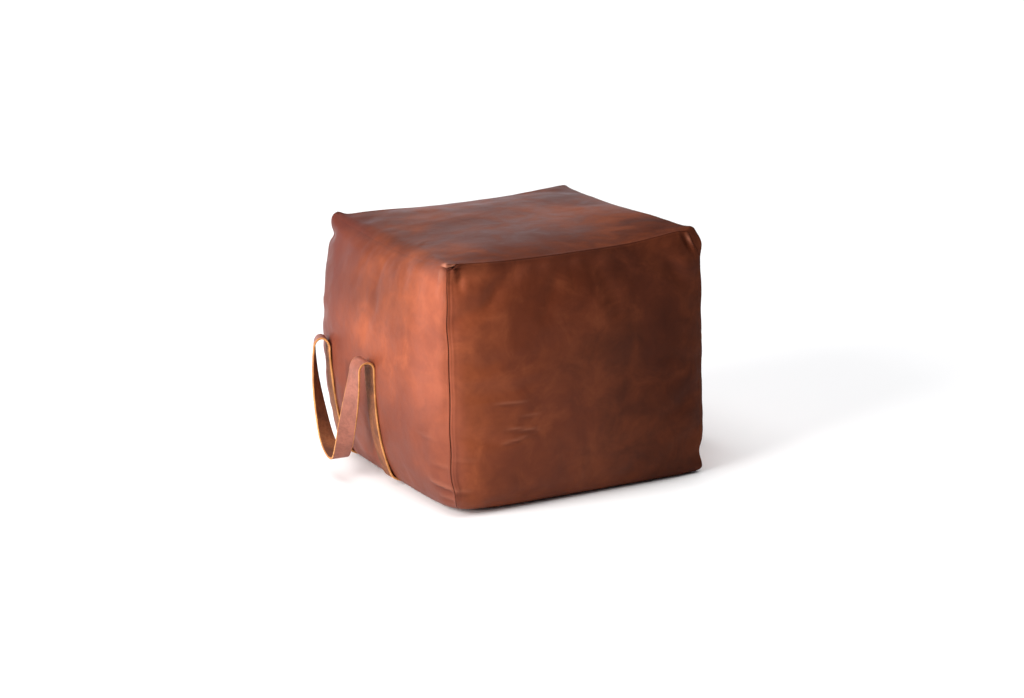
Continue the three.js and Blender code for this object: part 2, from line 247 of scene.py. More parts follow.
def closed_lattice(cells):
    """The cube's surface as shared corner points, quads, and each face's grid of point numbers."""
    steps = np.arange(cells + 1)
    u, v = np.meshgrid(steps * 2 / cells - 1, steps * 2 / cells - 1)
    numbers, points, grids = {}, [], {}
    for name, place in FACES.items():
        spots = np.stack(place(u, v), -1)
        keys = np.round((spots + 1) * cells / 2).astype(int)
        grid = np.zeros(keys.shape[:2], int)
        for i in range(cells + 1):
            for j in range(cells + 1):
                key = tuple(keys[i, j])
                if key not in numbers:
                    numbers[key] = len(points)
                    points.append(spots[i, j])
                grid[i, j] = numbers[key]
        grids[name] = grid
    quads = [
        np.stack([g[:-1, :-1], g[:-1, 1:], g[1:, 1:], g[1:, :-1]], -1).reshape(-1, 4)
        for g in grids.values()
    ]
    return np.array(points), np.concatenate(quads), grids


def inflate(points, quads, seam_share):
    """Blender's cloth simulation of the leather under the stuffing's pressure, in millimetres."""
    mesh = bpy.data.meshes.new("stuffing_trial")
    mesh.from_pydata((points * MM).tolist(), [], quads.tolist())
    trial = add_object("stuffing_trial", mesh)
    hold = trial.vertex_groups.new(name="hold")
    hold.add(np.nonzero(points[:, 2] < 3)[0].tolist(), 1.0, "REPLACE")
    gather = trial.vertex_groups.new(name="gather")
    for number in np.nonzero(seam_share > 0.01)[0]:
        gather.add([int(number)], float(seam_share[number]), "REPLACE")

    cloth = trial.modifiers.new("cloth", "CLOTH")
    s = cloth.settings
    s.quality = 6
    s.mass = 0.4
    s.tension_stiffness = 60
    s.compression_stiffness = 30
    s.shear_stiffness = 20
    s.bending_stiffness = 1.2
    s.use_pressure = True
    s.uniform_pressure_force = 5.0
    s.vertex_group_mass = "hold"
    s.vertex_group_shrink = "gather"
    s.shrink_min = -0.02
    s.shrink_max = 0.05
    s.effector_weights.gravity = 0
    cloth.point_cache.frame_start = 1
    cloth.point_cache.frame_end = SIM_FRAMES + 6
    scene = bpy.context.scene
    for number in range(1, SIM_FRAMES + 1):
        scene.frame_set(number)
    shown = trial.evaluated_get(bpy.context.evaluated_depsgraph_get())
    result = np.zeros(len(points) * 3, np.float32)
    shown.data.vertices.foreach_get("co", result)
    scene.frame_set(1)
    bpy.data.objects.remove(trial)
    bpy.data.meshes.remove(mesh)
    return result.reshape(-1, 3).astype(float) / MM


def puckers():
    """What the simulation adds to the smooth shape: its creases and puckers, face by face."""
    spots, quads, grids = closed_lattice(SIM_CELLS)
    start = cover(*spots.T, swell=0.6)
    order = np.sort(np.abs(spots), 1)
    seam_share = ramp(order[:, 1], 0.9, 1.0) * (1 - 0.7 * (np.abs(spots[:, 1]) < 0.93))
    moved = inflate(start, quads, seam_share) - start

    edges = np.concatenate([quads[:, [0, 1]], quads[:, [1, 2]], quads[:, [2, 3]], quads[:, [3, 0]]])
    count = np.zeros(len(spots))
    np.add.at(count, edges[:, 0], 1)
    np.add.at(count, edges[:, 1], 1)

    def spread(field, times):
        for _ in range(times):
            total = np.zeros_like(field)
            np.add.at(total, edges[:, 0], field[edges[:, 1]])
            np.add.at(total, edges[:, 1], field[edges[:, 0]])
            field = mix(field, total / count[:, None], 0.6)
        return field

    fine = spread(moved, 2) - spread(moved, 9)
    size = np.linalg.norm(fine, axis=1, keepdims=True)
    fine *= np.minimum(1, PUCKER_LIMIT / np.maximum(size, 1e-6))
    fine *= mix(1.0, 0.3, ramp(start[:, 2:3], 395, 408))
    fine *= ramp(start[:, 2:3], 0, 30)
    return {name: fine[grid] for name, grid in grids.items()}


PUCKERS = puckers()

# ---- local shapes of the corners ----

# For each corner: the height and tallness of a move, its reach from the corner, how far out it
# pushes and how far it lifts.
CORNER_MOVES = [
    (-1, -1, [(413.5, 3.5, 24, 2.5, 0), (407.0, 2.8, 24, -7.0, 0), (8, 22, 24, -5, 0)]),
    (-1, 1, [
        (406, 12, 22, 4.0, 0), (418, 14, 14, 0, 11.0), (384, 9, 22, -5.0, 0), (330, 50, 60, 2.5, 0),
    ]),
    (1, 1, [(407, 14, 32, 9.0, 1.5), (384, 9, 24, -5, 0)]),
    (1, -1, [
        (413, 10, 28, -1.5, 5.0), (345, 62, 40, 8.0, 0), (245, 60, 55, 3.5, 0), (36, 19, 36, -8.5, 0),
        (6, 10, 24, -3, 1.5),
    ]),
]


def near_lip(p):
    """1 at the front left corner, where the band overhangs the seam, falling to 0 round it."""
    away = np.hypot(p[..., 0] + HALF_TOP, (p[..., 1] + HALF_TOP) * 0.55)
    return 1 - ramp(away, 9, 19)


def pull(p, s):
    """How the seam is drawn in at the two front corners; s is the distance from the front seam."""
    move = np.zeros_like(p)
    drop = LIP_DROP * near_lip(p) * ramp(p[..., 2], 376, 404)
    move[..., 2] -= drop * np.clip(1 - (s - SEAM_HALF_GAP) / 2.6, 0, 1)
    away = np.hypot(p[..., 0] - HALF_TOP, (p[..., 2] - HEIGHT) * 0.8)
    share = (1 - ramp(away, 2, 40)) * (1 - ramp(s, 0, 13))
    move[..., 0] -= 13.0 * share
    move[..., 2] -= 4.0 * share
    return move


def warp(p):
    """Moves points near the corners and along the upright seams; one field for every piece."""
    p = p.copy()
    x, y, z = p[..., 0].copy(), p[..., 1].copy(), p[..., 2].copy()
    for sx, sy, moves in CORNER_MOVES:
        away = np.hypot(x - sx * HALF_TOP, y - sy * HALF_TOP)
        for height, tall, reach, out, lift in moves:
            share = bell(z - height, tall) * bell(away, reach)
            p[..., 0] += sx * out * share / math.sqrt(2)
            p[..., 1] += sy * out * share / math.sqrt(2)
            p[..., 2] += lift * share

    # The band stands out as a shoulder just behind the front right corner.
    behind = ramp(y, -231, -214) * (1 - ramp(y, -165, -70)) * ramp(x, 170, 215)
    p[..., 0] += 12.0 * bell(z - 392, 24) * behind

    # The seam at the front left wavers a little sideways.
    edge = bell(np.hypot(x + HALF_TOP + 6, y + HALF_TOP + 6), 26)
    sway = 0.8 * np.sin(z / 31 + 0.4) + 0.5 * np.sin(z / 13.7)
    sway = sway + 2.5 * bell(z - 42, 16) - 2.0 * bell(z - 82, 22)
    sway = sway * edge * ramp(z, 8, 30) * (1 - ramp(z, 350, 400))
    p[..., 0] += sway / math.sqrt(2)
    p[..., 1] -= sway / math.sqrt(2)
    return p


# ---- shallow forms on each face, along its normal ----


def crease(a, b, start, end, width, height):
    """A ridge with a hollow under it, between two points of a face's own plane."""
    ax, bx = np.array(start, float), np.array(end, float)
    d = bx - ax
    length = np.linalg.norm(d)
    along = ((a - ax[0]) * d[0] + (b - ax[1]) * d[1]) / length
    across = ((b - ax[1]) * d[0] - (a - ax[0]) * d[1]) / length
    fade = ramp(along, 0, length * 0.35) * (1 - ramp(along, length * 0.65, length))
    return height * fade * (bell(across - width * 0.6, width) - bell(across + width * 0.6, width))


def form_front(p):
    x, z = p[..., 0], p[..., 2]
    h = 1.6 * noise(p, 95, 3) + 0.7 * noise(p, 38, 4) + 0.25 * noise(p, 15, 5)
    folds = 0.0
    for start, end, width, height in [
        ((-172, 186), (-100, 182), 3.0, 1.6),
        ((-156, 144), (-80, 132), 3.2, 2.0),
        ((-160, 116), (-104, 126), 3.0, 1.8),
        ((-240, 98), (-186, 94), 3.6, 0.8),
        ((-246, 46), (-196, 42), 4.4, 1.8),
        ((-128, 162), (-80, 158), 2.6, 1.0),
    ]:
        folds = folds + crease(x, z, start, end, width, height)
    # Beside the front left corner: a short ridge, a hollow, and a soft swelling under it.
    h = h + 2.4 * bell(x + 213, 3.0) * bell(z - 402, 8)
    h = h - 4.2 * bell(x + 204 - (z - 392) * 0.1, 4.6) * bell(z - 394, 16)
    h = h + 2.2 * bell(x + 195, 7) * bell(z - 380, 11)
    # A pleat from the front right corner, with a hollow along its left side.
    pleat = bell(z - 398, 14)
    h = h + 4.6 * bell(x - 214 + (z - 402) * 0.42, 3.8) * pleat
    h = h - 4.6 * bell(x - 205 + (z - 402) * 0.42, 4.2) * pleat
    h = h + 3.5 * bell(x - 200 + (z - 366) * 0.4, 12) * bell(z - 362, 17)
    h = h - 3.0 * bell(x - 177 + (z - 362) * 0.4, 10) * bell(z - 356, 24)
    return h + folds, folds


def form_band(p):
    """The left side, top and right side, as one sheet with nothing changing at its folds."""
    x, y, z = p[..., 0], p[..., 1], p[..., 2]
    calm = 1 - 0.6 * ramp(z, 398, 408)
    h = 1.5 * noise(p, 92, 13) + (0.7 * noise(p, 36, 14) + 0.25 * noise(p, 15, 15)) * calm
    left = ramp(-x, 205, 222) * (1 - ramp(z, 385, 400))
    side = 0.0
    for start, end, width, height in [
        ((174, 54), (250, 46), 4.2, 3.4),
        ((186, 86), (240, 82), 4.4, 0.9),
        ((190, 32), (246, 29), 3.4, 1.7),
        ((150, 130), (215, 126), 3.0, 0.9),
        ((206, 352), (214, 386), 3.0, 0.8),
    ]:
        side = side + crease(-y, z, start, end, width, height)
    side = side + 3.2 * bell(y + 209, 5.5) * bell(z - 396, 11)
    top = ramp(z, 398, 408)
    left = np.maximum(left, ramp(-x, 205, 222) * bell(y + 209, 20) * (1 - ramp(z, 404, 408)))
    stretched = p * np.array([0.42, 1.0, 1.0])
    waves = 0.8 * noise(stretched, 34, 24) * ramp(y, -60, 150)
    waves = waves + 0.3 * noise(stretched, 19, 25) * ramp(y, 20, 190)
    waves = waves + crease(x, y, (-196, -60), (-170, -28), 3.5, 0.8)
    return h + side * left + waves * top, side * left


def form_other(p):
    h = 1.6 * noise(p, 95, 33) + 0.8 * noise(p, 36, 34) + 0.25 * noise(p, 15, 35)
    return h, 0 * h


FORMS = {"front": form_front, "left": form_band, "top": form_band, "right": form_band}


def seam_form(s, raised):
    """Height beside a seam at a distance from it. raised is the side the allowance lies under."""
    ridge = 0.4 * bell(s - 3.2, 1.4)
    if raised:
        ridge = ridge + 0.55 * bell(s - 7.4, 1.6) - 0.25 * bell(s - 5.2, 0.9) - 0.3 * bell(s - 11, 2.0)
    return ridge


# ---- panels ----


BESIDE_SEAM = [SEAM_HALF_GAP, 0.6, 1.1, 1.7, 2.4, 3.2, 4.1, 5.2, 6.4, 7.8, 9.4, 11.4, 14, 17]
UNDER_SEAM = [*BESIDE_SEAM[:9], 7.7, 9.0, 10.3, 11.6, 12.9, 14.2, 15.5, 17.0, 18.5]


def across_lines(half):
    """Lines from one seam to the other, close together beside them: their places from -1 to 1,
    and millimetres from the nearest seam, which are below 0 on the turned-in rows."""
    middle = np.linspace(17, half, max(2, int(round((half - 17) / CELL))))[1:]
    one_side = np.concatenate([BESIDE_SEAM, middle])
    inside = np.array([-FLANGE, -FLANGE * 0.5])
    s = np.concatenate([inside, one_side, one_side[-2::-1], inside[::-1]])
    at = np.clip(one_side / half, 0, 1) - 1
    n = np.concatenate([[at[0]] * 2, at, -at[-2::-1], [-at[0]] * 2])
    return n, s


def spaced(start, end, cell):
    return np.linspace(start, end, max(2, int(round(abs(end - start) / cell)) + 1))


def up_lines():
    """Heights on an upright side, from the base seam to the top, as -1 to 1."""
    angles = np.linspace(0, math.pi / 2, 11)
    turn = (1 - np.cos(angles)) * BOTTOM_ROUND
    open_part = spaced(BOTTOM_ROUND, HEIGHT - 44, CELL)[1:]
    fine_part = spaced(HEIGHT - 44, HEIGHT - 14, FINE_CELL)[1:]
    top_part = spaced(HEIGHT - 14, HEIGHT, 1.0)[1:]
    return np.concatenate([turn, open_part, fine_part, top_part]) * 2 / HEIGHT - 1


def top_lines():
    """Places across the top from the left fold to the right one, as -1 to 1."""
    fine = spaced(-HALF_TOP, -HALF_TOP + 28, FINE_CELL)
    middle = spaced(-HALF_TOP + 28, HALF_TOP - 28, CELL)[1:-1]
    return np.concatenate([fine, middle, -fine[::-1]]) / HALF_TOP


def rolled_depth(s):
    inside = np.clip(SEAM_ROLL - s, 0, SEAM_ROLL)
    return np.where(
        s <= SEAM_HALF_GAP,
        SEAM_ROLL + np.maximum(0, -s),
        SEAM_ROLL - np.sqrt(np.maximum(0, SEAM_ROLL**2 - inside**2)),
    )


def grid_normals(p):
    return unit(np.cross(np.gradient(p, axis=1), np.gradient(p, axis=0)))


def panel_normals(p):
    """The normals of a panel, which has two turned-in rows of points along each edge."""
    return np.pad(grid_normals(p[2:-2, 2:-2]), ((2, 2), (2, 2), (0, 0)), mode="edge")


def read_puckers(face, u, v):
    field = PUCKERS[face]
    return np.einsum("ri,cj,ijk->rck", cubic_weights(v, len(field)), cubic_weights(u, len(field)), field)


def surface(face, u, v, s):
    """A grid of a face's points, rows up by v and columns across by u, the height of its shallow
    forms, and the share of that in folds. s is the distance from the front seam."""
    uu, vv = np.meshgrid(u, v)
    p = cover(*FACES[face](uu, vv))
    p = warp(p + pull(p, s) + read_puckers(face, u, v))
    return p, *FORMS.get(face, form_other)(p)


def turn_in(p, n, s, inward, axis):
    """Rolls a panel's edges into its seams; s is each line's distance from the seam."""
    shape = [1, 1, 1]
    shape[axis] = len(s)
    depth = rolled_depth(s).reshape(shape)
    lean = np.clip(1 - s / SEAM_ROLL, 0, 1).reshape(shape)
    return p + unit(mix(-n, inward, lean)) * depth


def build_object(name, points, quads, attributes=None, materials=(), face_material=None):
    mesh = bpy.data.meshes.new(name)
    quads = np.asarray(quads, np.int32)
    mesh.vertices.add(len(points))
    mesh.vertices.foreach_set("co", (np.asarray(points, float) * MM).astype(np.float32).ravel())
    mesh.loops.add(quads.size)
    mesh.loops.foreach_set("vertex_index", quads.ravel())
    mesh.polygons.add(len(quads))
    mesh.polygons.foreach_set("loop_start", np.arange(0, quads.size, 4, dtype=np.int32))
    mesh.update(calc_edges=True)
    mesh.polygons.foreach_set("use_smooth", np.ones(len(quads), bool))
    for key, values in (attributes or {}).items():
        mesh.attributes.new(key, "FLOAT", "POINT").data.foreach_set(
            "value", np.asarray(values, np.float32).ravel()
        )
    for material in materials:
        mesh.materials.append(material)
    if face_material is not None:
        mesh.polygons.foreach_set("material_index", np.asarray(face_material, np.int32))
    mesh.validate()
    return add_object(name, mesh)


def cell_quads(numbers):
    return np.stack(
        [numbers[:-1, :-1], numbers[:-1, 1:], numbers[1:, 1:], numbers[1:, :-1]], -1
    ).reshape(-1, 4)


def shell(name, outer, thickness, attributes, materials):
    """A closed sheet: the outer grid, its copy moved in by the thickness, and the rim."""
    inner = outer - grid_normals(outer) * thickness
    rows, columns = outer.shape[:2]
    a = np.arange(rows * columns).reshape(rows, columns)
    b = a + rows * columns
    loop = np.concatenate([a[0, :-1], a[:-1, -1], a[-1, :0:-1], a[:0:-1, 0]])
    follow = np.roll(loop, -1)
    shift = rows * columns
    rim = np.stack([follow, loop, loop + shift, follow + shift], -1)
    quads = np.concatenate([cell_quads(a), cell_quads(b)[:, ::-1], rim])
    points = np.concatenate([outer.reshape(-1, 3), inner.reshape(-1, 3)])
    both = {key: np.concatenate([v.ravel(), v.ravel()]) for key, v in attributes.items()}
    return build_object(name, points, quads, both, materials)


def seam_and_fold_shade(distance, folds):
    """How dark a point is, 0 to 1: dark in a seam, and painted shade in the hollow of a fold."""
    return np.maximum(1 - ramp(distance, SEAM_HALF_GAP, 1.3), fold_shade_and_highlight(-folds))


def fold_shade_and_highlight(height):
    """How much painted highlight a fold's ridge takes from its height, and painted shade its hollow from
    its depth.
    """
    return 0.4 * np.clip(height / DEEPEST_FOLD, 0, 1)


def side_panel(name, side, materials):
    """The front or back square, with its four edges turned in."""
    face = "front" if side < 0 else "back"
    u, su = across_lines(HALF_TOP)
    v = up_lines()
    gap = 1 - SEAM_HALF_GAP * 2 / HEIGHT
    below = (1 - v) * HEIGHT / 2
    under = np.array(UNDER_SEAM[::-1])
    lower = below > under[0] + 0.8
    s_top = np.concatenate([[FAR, FAR], below[lower], under, [-FLANGE * 0.5, -FLANGE]])
    v = np.concatenate([[v[0]] * 2, v[lower], 1 - under * 2 / HEIGHT, [gap, gap]])
    p, form, folds = surface(face, u, v, 0.0 if side < 0 else FAR)
    run = np.cumsum(np.linalg.norm(np.diff(p[1:, len(u) // 2], axis=0), axis=1))
    s_base = np.concatenate([[-FLANGE, -FLANGE * 0.5, SEAM_HALF_GAP], SEAM_HALF_GAP + run[1:]])

    n = panel_normals(p)
    edge = np.minimum(np.maximum(su, 0)[None, :], np.maximum(s_top, 0)[:, None])
    ridge = seam_form(su, True)[None, :] + seam_form(s_top, False)[:, None]
    ridge = ridge + 1.4 * ramp(su, 0, 13)[None, :]
    raised = form * ramp(edge, 0, 5) * ramp(p[..., 2], 4, 40) + ridge * ramp(p[..., 2], 20, 50)
    p = p + n * raised[..., None]

    upright = np.stack([-np.sign(p[..., 0]), 0 * p[..., 0] - side, 0 * p[..., 0]], -1) / math.sqrt(2)
    p = turn_in(p, n, su, upright, 1)
    p = turn_in(p, n, s_top, np.array([0, -side, -1]) / math.sqrt(2), 0)
    p = turn_in(p, n, s_base, np.array([0, 0, 1.0]), 0)
    nearest = np.minimum(np.minimum(su[None, :], s_top[:, None]), s_base[:, None])
    # Painted highlight on the ridges of the folds.
    wear_and_highlight = fold_shade_and_highlight(folds)
    if side < 0:
        x, z = p[..., 0], p[..., 2]
        # Painted highlight on the ridge of the pleat from the front right corner.
        wear_and_highlight = wear_and_highlight + 0.6 * bell(x - 212 + (z - 402) * 0.42, 3.0) * bell(z - 403, 8) * (nearest > 2.0)
    return shell(name, p, LEATHER, {"seam": seam_and_fold_shade(nearest, folds), "wear_and_painted_highlight": wear_and_highlight}, materials)


def band_panel(name, materials):
    """Left side, top and right side in one strip."""
    u, su = across_lines(HALF_TOP)
    v = up_lines()
    top = top_lines()
    facing = np.where(np.arange(len(u)) < len(u) // 2, 1.0, -1.0)
    # The columns run from the back seam to the front one.
    s_front = np.where(facing < 0, np.maximum(su, 0), FAR)
    left = surface("left", u, v, s_front)
    over = [np.swapaxes(part, 0, 1) for part in surface("top", top, -u, s_front[:, None])]
    right = surface("right", -u, v[::-1], s_front)
    p, form, folds = (
        np.concatenate([a[:1], a[:1], a[:-1], b, c[1:], c[-1:], c[-1:]])
        for a, b, c in zip(left, over, right)
    )

    n = panel_normals(p)
    edge = np.maximum(su, 0)[None, :]
    raised = form * ramp(edge, 0, 5) * ramp(p[..., 2], 4, 40)
    raised = raised + seam_form(su, False)[None, :] * ramp(p[..., 2], 20, 50)
    z = p[..., 2]
    # Worn paler along the lip that overhangs the front left corner.
    wear_and_highlight = near_lip(p) * ramp(z, 408.5, 410) * (1 - ramp(z, 413.5, 415)) * (su > 0.4)[None, :]
    # Painted highlight on the pucker beside the front left corner.
    wear_and_highlight = wear_and_highlight + 0.5 * bell(p[..., 1] + 211, 6) * bell(z - 396, 9) * (p[..., 0] < -200)
    # Painted highlight on the ridges of the low folds.
    wear_and_highlight = wear_and_highlight + fold_shade_and_highlight(folds) * (z < 380)
    p = p + n * raised[..., None]

    run = np.concatenate([[0], np.cumsum(np.linalg.norm(np.diff(p[:, p.shape[1] // 2], axis=0), axis=1))])
    sv = np.minimum(run, run[-1] - run) + SEAM_HALF_GAP
    sv[:2] = [-FLANGE, -FLANGE * 0.5]
    sv[-2:] = [-FLANGE * 0.5, -FLANGE]

    # Inwards at the front and back seams: half way between this panel's normal and the square's.
    square = np.array([0.0, 1.0, 0.0]) * -facing[None, :, None]
    p = turn_in(p, n, su, unit(-n + square), 1)
    p = turn_in(p, n, sv, np.array([0, 0, 1.0]), 0)
    nearest = np.minimum(su[None, :], sv[:, None])
    # Painted shade in the crease under the overhanging corner.
    under = bell(z - 407.5, 2.4) * (1 - ramp(p[..., 1] + HALF_TOP, 13, 26)) * (p[..., 0] < -205)
    seam = np.maximum(seam_and_fold_shade(nearest, folds), 0.8 * under)
    return shell(name, p, LEATHER, {"seam": seam, "wear_and_painted_highlight": wear_and_highlight}, materials)


def base_panel(name, side, materials):
    """One half of the base, with its inner edge turned in beside the zip."""
    half = HALF_BOTTOM - BOTTOM_ROUND
    u, su = across_lines(half)
    _, sw = across_lines(half / 2)
    run = np.concatenate([[0], np.cumsum(np.abs(np.diff(sw[2:-2])))])
    uu, share = np.meshgrid(u, np.pad(run / run[-1], 2, mode="edge"))
    ends = [(ZIP_HALF_LENGTH + 6) / half, (ZIP_HALF_LENGTH + 12) / half]
    edge = mix(ZIP_HALF_GAP / half, 0.0012, ramp(np.abs(uu), *ends))
    p = cover(uu, side * mix(edge, 1 - SEAM_HALF_GAP / half, share), -1 + 0 * uu)
    down = np.broadcast_to(np.array([0, 0, -1.0]), p.shape)
    p = turn_in(p, down, su, -down, 1)
    p = turn_in(p, down, sw, -down, 0)
    seam = seam_and_fold_shade(np.minimum(su[None, :], sw[:, None]), 0.0)
    if side > 0:
        p, seam = p[::-1], seam[::-1]
    return shell(name, p, LEATHER, {"seam": seam, "wear_and_painted_highlight": 0 * seam}, materials)


# ---- materials ----

SPAN_INPUTS = ("From Min", "From Max", "To Min", "To Max")


class Nodes:
    """Short calls for building one material's nodes."""

    def __init__(self, name):
        self.material = bpy.data.materials.new(name)
        self.material.use_nodes = True
        self.tree = self.material.node_tree
        self.shader = self.tree.nodes["Principled BSDF"]
        self.place = self.add("ShaderNodeTexCoord").outputs["Object"]

    def add(self, kind, **settings):
        node = self.tree.nodes.new(kind)
        for key, value in settings.items():
            setattr(node, key, value)
        return node

    def link(self, source, target):
        self.tree.links.new(source, target)

    def put(self, value, socket):
        if isinstance(value, bpy.types.NodeSocket):
            self.link(value, socket)
        elif isinstance(value, tuple) and len(value) == 3 and socket.type == "RGBA":
            socket.default_value = (*value, 1.0)
        else:
            socket.default_value = value

    def noise(self, scale, detail=3.0, rough=0.55, twist=0.0):
        node = self.add("ShaderNodeTexNoise")
        self.put(self.place, node.inputs["Vector"])
        node.inputs["Scale"].default_value = scale
        node.inputs["Detail"].default_value = detail
        node.inputs["Roughness"].default_value = rough
        node.inputs["Distortion"].default_value = twist
        return node.outputs["Fac"]

    def cells(self, scale):
        node = self.add("ShaderNodeTexVoronoi", feature="F1")
        self.put(self.place, node.inputs["Vector"])
        node.inputs["Scale"].default_value = scale
        return node.outputs["Distance"]

    def maths(self, operation, a, b=0.0, clamp=False):
        node = self.add("ShaderNodeMath", operation=operation, use_clamp=clamp)
        self.put(a, node.inputs[0])
        self.put(b, node.inputs[1])
        return node.outputs[0]

    def times(self, a, *others):
        for b in others:
            a = self.maths("MULTIPLY", a, b)
        return a

    def span(self, value, low, high, to_low=0.0, to_high=1.0):
        node = self.add("ShaderNodeMapRange", interpolation_type="SMOOTHSTEP")
        self.put(value, node.inputs["Value"])
        for key, number in zip(SPAN_INPUTS, (low, high, to_low, to_high)):
            node.inputs[key].default_value = number
        return node.outputs["Result"]

    def mix(self, share, a, b):
        node = self.add("ShaderNodeMix", data_type="RGBA", blend_type="MIX")
        self.put(share, node.inputs["Factor"])
        self.put(a, node.inputs[6])
        self.put(b, node.inputs[7])
        return node.outputs[2]

    def attribute(self, name):
        return self.add("ShaderNodeAttribute", attribute_name=name).outputs["Fac"]

    def axis(self, index):
        node = self.add("ShaderNodeSeparateXYZ")
        self.put(self.place, node.inputs[0])
        return node.outputs[index]

    def bump(self, height, strength, distance, under=None):
        node = self.add("ShaderNodeBump")
        self.put(height, node.inputs["Height"])
        node.inputs["Strength"].default_value = strength
        node.inputs["Distance"].default_value = distance
        if under is not None:
            self.put(under, node.inputs["Normal"])
        return node.outputs["Normal"]

    def finish(self, **sockets):
        for name, value in sockets.items():
            self.put(value, self.shader.inputs[name.replace("_", " ")])
        return self.material


def cover_leather():
    n = Nodes("cover_leather")
    x, y, z = (n.axis(i) for i in range(3))
    broad = n.noise(2.6, 2, 0.5, 0.4)
    cloud = n.noise(6.5, 4, 0.55, 0.5)
    patch = n.noise(19, 5, 0.6, 0.6)
    speck = n.noise(85, 4, 0.65)
    tone = n.maths("ADD", n.times(broad, 0.4), n.times(cloud, 0.4))
    tone = n.maths("ADD", tone, n.times(patch, 0.2))
    colour = n.mix(n.span(tone, 0.4, 0.6), (0.2, 0.045, 0.018), (0.37, 0.09, 0.033))
    colour = n.mix(n.span(patch, 0.5, 0.8, 0, 0.24), colour, (0.5, 0.14, 0.055))
    colour = n.mix(n.span(speck, 0.42, 0.8, 0, 0.2), colour, (0.1, 0.024, 0.011))

    # The patina is dark on the front square, most of all to its right but less at both of its top corners;
    # this darkening is also painted shade, for light falling from the left. It is half dark on the top,
    # and light on the left side down to its lower half.
    front = n.span(y, -0.2, -0.225)
    wander = n.maths("ADD", x, n.times(n.maths("SUBTRACT", cloud, 0.5), 0.35))
    right = n.maths("ADD", n.span(wander, -0.24, -0.13, 0.33, 0.52), n.span(wander, -0.1, 0.13, 0, 0.35))
    right = n.maths("ADD", right, n.times(n.span(z, 0.22, 0.4, 0, 0.1), n.span(x, -0.18, -0.08)))
    for start, end in ((0.04, 0.16), (-0.08, -0.2)):
        lighter = n.times(n.span(z, 0.24, 0.38, 0, 0.18), n.span(x, start, end))
        right = n.maths("SUBTRACT", right, lighter)
    corner = n.times(n.span(x, -0.02, 0.18), n.span(y, 0.06, -0.16))
    top = n.maths("ADD", n.span(tone, 0.3, 0.65, 0.76, 0.58), n.times(corner, 0.16))
    top = n.times(n.span(z, 0.37, 0.408), top)
    left = n.span(x, -0.2, -0.23)
    low = n.times(n.span(z, 0.27, 0.1, 0.05, 0.64), left)
    back = n.times(n.span(z, 0.24, 0.34, 0, 0.52), n.span(y, -0.23, -0.06), left)
    # Painted shadow of the left handle's hanging strap, on the side behind it.
    strap_shadow = n.times(n.span(y, 0.046, 0.072), n.span(y, 0.112, 0.088))
    strap_shadow = n.times(strap_shadow, n.times(n.span(z, 0.06, 0.11), n.span(z, 0.21, 0.19)), left, 0.75)
    dark = n.times(front, right)
    for other in (n.maths("MAXIMUM", top, low), n.maths("MAXIMUM", back, strap_shadow)):
        dark = n.maths("MAXIMUM", dark, other)
    dark = n.maths("MULTIPLY", dark, n.span(patch, 0.25, 0.75, 1.07, 0.92), clamp=True)
    colour = n.mix(dark, colour, (0.036, 0.0075, 0.003))
    # The left side is darker at its far end, pinker low down, and lighter beside the front seam, where the
    # lightening is a painted highlight.
    far = n.times(n.span(y, 0.0, 0.22), n.span(x, -0.16, -0.22, 0, 0.72))
    colour = n.mix(far, colour, (0.09, 0.02, 0.015))
    pink = n.times(n.span(z, 0.34, 0.12, 0.08, 0.3), left)
    colour = n.mix(pink, colour, (0.26, 0.075, 0.053))
    # Painted highlight on the left side beside the front seam.
    near = n.times(n.span(y, -0.12, -0.18, 0, 0.14), n.span(y, -0.226, -0.21), left, n.span(z, 0.1, 0.24))
    colour = n.mix(near, colour, (0.46, 0.16, 0.115))
    # Dark seams, and painted shade in fold hollows and in the crease under the overhanging corner.
    colour = n.mix(n.attribute("seam"), colour, (0.07, 0.016, 0.008))
    # Worn paler at the front left corner's lip; painted highlights on fold ridges, a pucker and a pleat.
    colour = n.mix(n.times(n.attribute("wear_and_painted_highlight"), 0.5), colour, (0.5, 0.2, 0.12))

    grain = n.cells(1150)
    fine = n.noise(900, 3, 0.6)
    soft = n.noise(55, 4, 0.6, 0.3)
    normal = n.bump(soft, 0.3, 0.0014)
    normal = n.bump(grain, 0.2, 0.0003, normal)
    normal = n.bump(fine, 0.12, 0.0002, normal)
    rough = n.maths("ADD", n.span(patch, 0.3, 0.7, 0.4, 0.52), n.times(corner, 0.32))
    brow = n.times(n.span(y, -0.12, -0.21), n.span(z, 0.36, 0.4, 0, 0.2))
    rough = n.maths("ADD", rough, brow)
    return n.finish(Base_Color=colour, Roughness=rough, Specular_IOR_Level=0.095, Normal=normal)


def strap_material(name, dark, light, rough_low, rough_high, fibre):
    n = Nodes(name)
    cloud = n.noise(24, 4, 0.6, 0.6)
    fine = n.noise(220, 4, 0.65)
    colour = n.mix(n.span(cloud, 0.32, 0.68), dark, light)
    colour = n.mix(n.span(fine, 0.4, 0.75, 0, 0.3), colour, tuple(c * 0.4 for c in dark))
    normal = n.bump(n.noise(fibre, 4, 0.6), 0.3, 0.0004)
    normal = n.bump(n.cells(fibre * 1.3), 0.2, 0.0003, normal)
    return n.finish(
        Base_Color=colour,
        Roughness=n.span(fine, 0.3, 0.7, rough_low, rough_high),
        Specular_IOR_Level=0.4,
        Normal=normal,
    )


